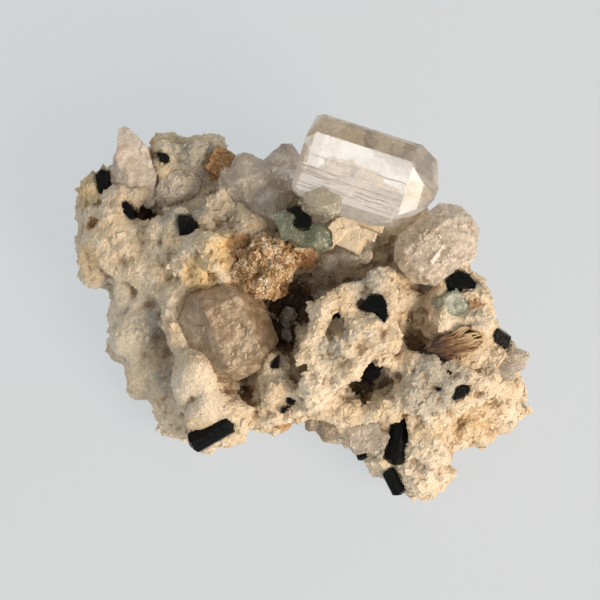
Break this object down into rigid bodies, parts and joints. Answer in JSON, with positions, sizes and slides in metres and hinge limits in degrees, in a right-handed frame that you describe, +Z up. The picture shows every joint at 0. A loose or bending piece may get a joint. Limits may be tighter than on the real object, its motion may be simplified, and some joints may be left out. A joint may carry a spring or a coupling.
{
  "type": "topaz mineral specimen",
  "caption": "Mineral specimen: a large clear topaz with smaller topaz, quartz, pale green fluorite, mica and black schorl grown on cream albite, sawn flat to stand.",
  "frame": {"origin": "a point in the middle of the flat sawn underside", "axes": "+Z up out of the sawn underside; +X along the specimen's length; the specimen is looked at from -Y and above"},
  "size_m": [0.0709, 0.0575, 0.0311],
  "materials": {
    "albite": "granular, matt",
    "clean_albite": "cleaved, satin",
    "clear_topaz": "glassy",
    "etched_topaz": "etched, glassy",
    "brown_topaz": "hazy, glassy",
    "grey_quartz": "glassy, rubbed",
    "fluorite": "glassy",
    "feldspar": "satin",
    "rusty_feldspar": "satin",
    "mica": "pearly",
    "druse": "sparkling crust",
    "schorl": "glossy black"
  },
  "bodies": {
    "root": {"albite_matrix": "albite", "large_topaz": "clear_topaz", "etched_topaz": "etched_topaz", "brown_topaz": "brown_topaz", "quartz_group": "grey_quartz", "pocket_quartz": "grey_quartz", "north_quartz": "grey_quartz", "slab_quartz": "grey_quartz", "south_quartz": "grey_quartz", "east_quartz": "grey_quartz", "west_quartz": "grey_quartz", "ridge_quartz": "grey_quartz", "fluorite_centre": "fluorite", "fluorite_back": "fluorite", "fluorite_east": "fluorite", "fluorite_grey": "fluorite", "feldspar_spike": "feldspar", "stained_feldspar": "rusty_feldspar", "amber_chip": "rusty_feldspar", "albite_blades": "clean_albite", "mica_book": "mica", "stained_druse": "druse", "schorl_01": "schorl", "schorl_02": "schorl", "schorl_03": "schorl", "schorl_04": "schorl", "schorl_05": "schorl", "schorl_06": "schorl", "schorl_07": "schorl", "schorl_08": "schorl", "schorl_09": "schorl", "schorl_10": "schorl", "schorl_11": "schorl", "schorl_12": "schorl", "schorl_13": "schorl", "schorl_14": "schorl", "schorl_15": "schorl", "schorl_16": "schorl", "schorl_17": "schorl", "schorl_18": "schorl", "schorl_19": "schorl"}
  },
  "joints": []
}
